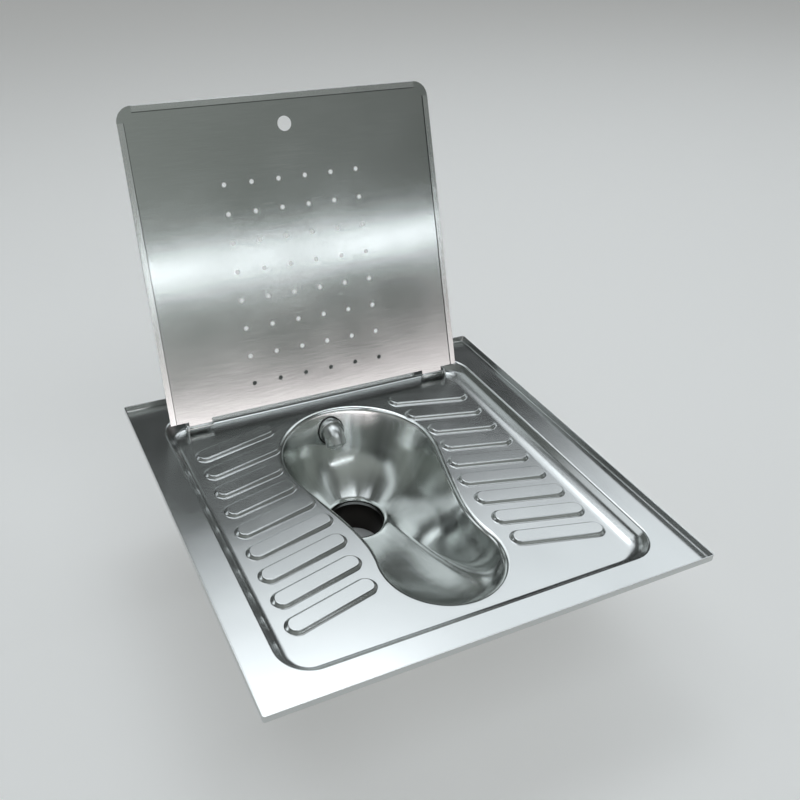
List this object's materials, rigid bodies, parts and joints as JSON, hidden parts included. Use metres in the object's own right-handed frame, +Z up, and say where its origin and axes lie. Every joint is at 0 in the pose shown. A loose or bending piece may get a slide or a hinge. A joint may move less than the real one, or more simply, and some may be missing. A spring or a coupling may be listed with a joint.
{
  "type": "squat toilet",
  "caption": "Square stainless steel squat toilet pan with raised foot treads, a keyhole-shaped bowl, a flush spout, an outlet spigot and a perforated lid that folds down into the tray.",
  "frame": {"origin": "middle of the front rim's underside, where the tray bears on the finished floor", "axes": "+Z up, +Y from the user's side towards the hinge of the lid, +X to the right seen from the front"},
  "size_m": [0.6, 0.7115, 0.6309],
  "materials": {
    "tray_steel": "satin pressed stainless steel",
    "bowl_steel": "polished deep-drawn stainless steel",
    "lid_steel": "stainless steel brushed along the width",
    "spout_steel": "satin stainless steel tube",
    "hinge_steel": "satin folded stainless steel strip",
    "pin_steel": "turned bright stainless steel",
    "plain_steel": "mill-finish stainless steel",
    "seal_rubber": "black moulded rubber",
    "seat_plastic": "dark moulded nylon",
    "earth_brass": "turned brass"
  },
  "bodies": {
    "base": {"deck_tray": "tray_steel", "bowl_back": "bowl_steel", "bowl_front": "bowl_steel", "outlet_spigot": "plain_steel", "outlet_seal": "seal_rubber", "flush_spout": "spout_steel", "spout_nozzle": "spout_steel", "spout_collar": "spout_steel", "spout_gasket": "seal_rubber", "spout_seat": "seat_plastic", "spout_backnut": "plain_steel", "inlet_sleeve": "seal_rubber", "hinge_lug_left": "hinge_steel", "hinge_lug_right": "hinge_steel", "hinge_pin_left": "pin_steel", "hinge_pin_right": "pin_steel", "hinge_spacers": "pin_steel", "brace_left": "plain_steel", "brace_right": "plain_steel", "fixing_lugs": "plain_steel", "earth_tag": "plain_steel", "earth_screw": "earth_brass", "earth_nut": "earth_brass"},
    "lid": {"lid_plate": "lid_steel"}
  },
  "joints": [
    {"name": "lid_hinge", "type": "hinge", "parent": "base", "child": "lid", "pos_m": [0, 0.513, -0.008], "axis": [1, 0, 0], "range_deg": [0, 112.5]}
  ]
}
